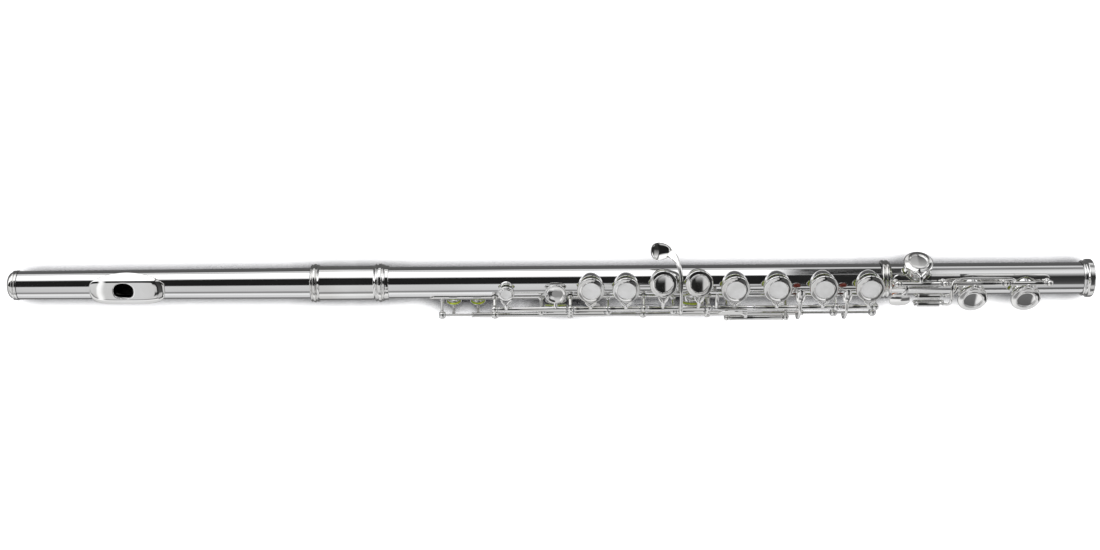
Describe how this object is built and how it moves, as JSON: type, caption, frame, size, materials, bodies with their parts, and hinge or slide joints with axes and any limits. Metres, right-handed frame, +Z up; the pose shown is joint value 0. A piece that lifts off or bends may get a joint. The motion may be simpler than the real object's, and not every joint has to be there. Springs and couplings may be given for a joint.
{
  "type": "concert flute",
  "caption": "Silver-plated concert flute with a C foot, closed-hole cups and an offset G, lying on its side, with working keys, foot rollers and crown.",
  "frame": {"origin": "centre of the crown's flat end, on the tube's axis", "axes": "+X along the flute from the crown to the foot, +Z up as it lies, -Y the player's side with the rods"},
  "size_m": [0.671, 0.049, 0.0359],
  "materials": {
    "silver_plate": "mirror-polished silver plate",
    "rod_steel": "bright drawn steel",
    "pad_skin": "yellow-green fish skin over felt",
    "cork": "cut cork",
    "felt": "red-brown felt"
  },
  "bodies": {
    "body": {"barrel": "silver_plate", "body_tube": "silver_plate", "upper_rib": "silver_plate", "middle_rib": "silver_plate", "lower_rib": "silver_plate", "left_rod": "rod_steel", "g_rod": "rod_steel", "right_rod": "rod_steel", "thumb_rod": "rod_steel", "g_sharp_rod": "rod_steel", "side_lever_rod": "rod_steel"},
    "head": {"head_tube": "silver_plate", "riser": "silver_plate", "lip_plate": "silver_plate"},
    "crown": {"crown": "silver_plate"},
    "stopper": {"stopper_screw": "rod_steel", "stopper_cork": "cork"},
    "b_flat": {"b_flat_key": "silver_plate", "b_flat_pad": "pad_skin"},
    "a": {"a_key": "silver_plate", "a_pad": "pad_skin"},
    "f_sharp": {"f_sharp_key": "silver_plate", "f_sharp_pad": "pad_skin"},
    "f": {"f_key": "silver_plate", "f_pad": "pad_skin"},
    "e": {"e_key": "silver_plate", "e_pad": "pad_skin"},
    "d": {"d_key": "silver_plate", "d_pad": "pad_skin"},
    "g": {"g_key": "silver_plate", "g_upper_pad": "pad_skin", "g_lower_pad": "pad_skin"},
    "c": {"c_key": "silver_plate", "c_sharp_pad": "pad_skin"},
    "thumb": {"thumb_key": "silver_plate", "thumb_pad": "pad_skin"},
    "thumb_b_flat": {"thumb_b_flat_lever": "silver_plate"},
    "g_sharp": {"g_sharp_key": "silver_plate", "g_sharp_pad": "pad_skin"},
    "d_trill": {"d_trill_key": "silver_plate", "d_trill_pad": "pad_skin", "d_trill_felt": "felt"},
    "d_sharp_trill": {"d_sharp_trill_key": "silver_plate", "d_sharp_trill_pad": "pad_skin", "d_sharp_trill_felt": "felt"},
    "side_b_flat": {"side_b_flat_lever": "silver_plate"},
    "foot": {"foot_tube": "silver_plate", "foot_socket_ring": "silver_plate", "foot_end_ring": "silver_plate", "foot_rib": "silver_plate", "foot_rod": "rod_steel"},
    "foot_d_sharp": {"foot_d_sharp_key": "silver_plate", "foot_d_sharp_pad": "pad_skin", "foot_d_sharp_cork": "cork"},
    "foot_c_sharp": {"foot_c_sharp_key": "silver_plate", "foot_c_sharp_pad": "pad_skin"},
    "foot_c": {"foot_c_key": "silver_plate", "foot_c_pad": "pad_skin"},
    "foot_c_sharp_roller": {"foot_c_sharp_roller": "silver_plate"},
    "foot_c_roller": {"foot_c_roller": "silver_plate"}
  },
  "joints": [
    {"name": "head_tuning", "type": "slide", "parent": "body", "child": "head", "axis": [-1, 0, 0], "range_m": [0, 0.012]},
    {"name": "crown_turn", "type": "hinge", "parent": "head", "child": "crown", "pos_m": [0, 0, 0], "axis": [1, 0, 0], "range_deg": [-300, 300]},
    {"name": "stopper_shift", "type": "slide", "parent": "head", "child": "stopper", "axis": [1, 0, 0], "range_m": [-0.0005, 0.0005]},
    {"name": "foot_turn", "type": "hinge", "parent": "body", "child": "foot", "pos_m": [0.5461, 0, 0], "axis": [1, 0, 0], "range_deg": [-15, 15]},
    {"name": "a_press", "type": "hinge", "parent": "body", "child": "a", "pos_m": [0.3824, -0.01686, 0.00786], "axis": [-1, 0, 0], "range_deg": [0, 10], "stiffness_Nm_per_rad": 0.005, "springref_deg": -45},
    {"name": "b_flat_press", "type": "hinge", "parent": "body", "child": "b_flat", "pos_m": [0.3607, -0.01686, 0.00786], "axis": [-1, 0, 0], "range_deg": [0, 10], "stiffness_Nm_per_rad": 0.005, "springref_deg": -45},
    {"name": "f_press", "type": "hinge", "parent": "body", "child": "f", "pos_m": [0.4752, -0.01686, 0.00786], "axis": [-1, 0, 0], "range_deg": [0, 10], "stiffness_Nm_per_rad": 0.005, "springref_deg": -45},
    {"name": "f_sharp_press", "type": "hinge", "parent": "body", "child": "f_sharp", "pos_m": [0.4493, -0.01686, 0.00786], "axis": [-1, 0, 0], "range_deg": [0, 10], "stiffness_Nm_per_rad": 0.005, "springref_deg": -45},
    {"name": "e_press", "type": "hinge", "parent": "body", "child": "e", "pos_m": [0.5034, -0.01686, 0.00786], "axis": [-1, 0, 0], "range_deg": [0, 10], "stiffness_Nm_per_rad": 0.005, "springref_deg": -45},
    {"name": "d_press", "type": "hinge", "parent": "body", "child": "d", "pos_m": [0.5316, -0.01686, 0.00786], "axis": [-1, 0, 0], "range_deg": [0, 10], "stiffness_Nm_per_rad": 0.005, "springref_deg": -45},
    {"name": "g_press", "type": "hinge", "parent": "body", "child": "g", "pos_m": [0.416, -0.01686, 0.00786], "axis": [-1, 0, 0], "range_deg": [0, 10], "stiffness_Nm_per_rad": 0.005, "springref_deg": -45},
    {"name": "c_press", "type": "hinge", "parent": "body", "child": "c", "pos_m": [0.3391, -0.01686, 0.00786], "axis": [-1, 0, 0], "range_deg": [0, 10], "stiffness_Nm_per_rad": 0.005, "springref_deg": -45},
    {"name": "thumb_press", "type": "hinge", "parent": "body", "child": "thumb", "pos_m": [0.3393, -0.01867, 0.00448], "axis": [1, 0, 0], "range_deg": [0, 12], "stiffness_Nm_per_rad": 0.005, "springref_deg": -45},
    {"name": "thumb_b_flat_press", "type": "hinge", "parent": "body", "child": "thumb_b_flat", "pos_m": [0.36, -0.01867, 0.00448], "axis": [1, 0, 0], "range_deg": [0, 6], "stiffness_Nm_per_rad": 0.002, "springref_deg": -45},
    {"name": "g_sharp_press", "type": "hinge", "parent": "body", "child": "g_sharp", "pos_m": [0.424, -0.01867, 0.00448], "axis": [-1, 0, 0], "range_deg": [0, 6], "stiffness_Nm_per_rad": 0.005, "springref_deg": -60},
    {"name": "d_trill_press", "type": "hinge", "parent": "body", "child": "d_trill", "pos_m": [0.2908, -0.02035, -0.00322], "axis": [-1, 0, 0], "range_deg": [0, 8], "stiffness_Nm_per_rad": 0.005, "springref_deg": -60},
    {"name": "d_sharp_trill_press", "type": "hinge", "parent": "body", "child": "d_sharp_trill", "pos_m": [0.2757, -0.02035, -0.00322], "axis": [-1, 0, 0], "range_deg": [0, 8], "stiffness_Nm_per_rad": 0.005, "springref_deg": -60},
    {"name": "side_b_flat_press", "type": "hinge", "parent": "body", "child": "side_b_flat", "pos_m": [0.463, -0.02295, 0.00405], "axis": [-1, 0, 0], "range_deg": [0, 6], "stiffness_Nm_per_rad": 0.002, "springref_deg": -45},
    {"name": "foot_d_sharp_press", "type": "hinge", "parent": "foot", "child": "foot_d_sharp", "pos_m": [0.5622, -0.00304, 0.01723], "axis": [1, 0, 0], "range_deg": [0, 8], "stiffness_Nm_per_rad": 0.005, "springref_deg": -60},
    {"name": "foot_c_sharp_press", "type": "hinge", "parent": "foot", "child": "foot_c_sharp", "pos_m": [0.5951, -0.00304, 0.01723], "axis": [1, 0, 0], "range_deg": [0, 10], "stiffness_Nm_per_rad": 0.005, "springref_deg": -45},
    {"name": "foot_c_press", "type": "hinge", "parent": "foot", "child": "foot_c", "pos_m": [0.6278, -0.00304, 0.01723], "axis": [1, 0, 0], "range_deg": [0, 10], "stiffness_Nm_per_rad": 0.005, "springref_deg": -45},
    {"name": "foot_c_sharp_roller_spin", "type": "hinge", "parent": "foot_c_sharp", "child": "foot_c_sharp_roller", "pos_m": [0.5671, -0.01046, 0.01722], "axis": [1, 0, 0], "continuous": true},
    {"name": "foot_c_roller_spin", "type": "hinge", "parent": "foot_c", "child": "foot_c_roller", "pos_m": [0.5671, -0.01525, 0.01429], "axis": [1, 0, 0], "continuous": true}
  ],
  "couplings": [
    {"joint": "crown_turn", "follows": "stopper_shift", "rad_per_m": 10000},
    {"joint": "b_flat_press", "follows": "a_press", "ratio": 1},
    {"joint": "f_sharp_press", "follows": "f_press", "ratio": 1}
  ]
}
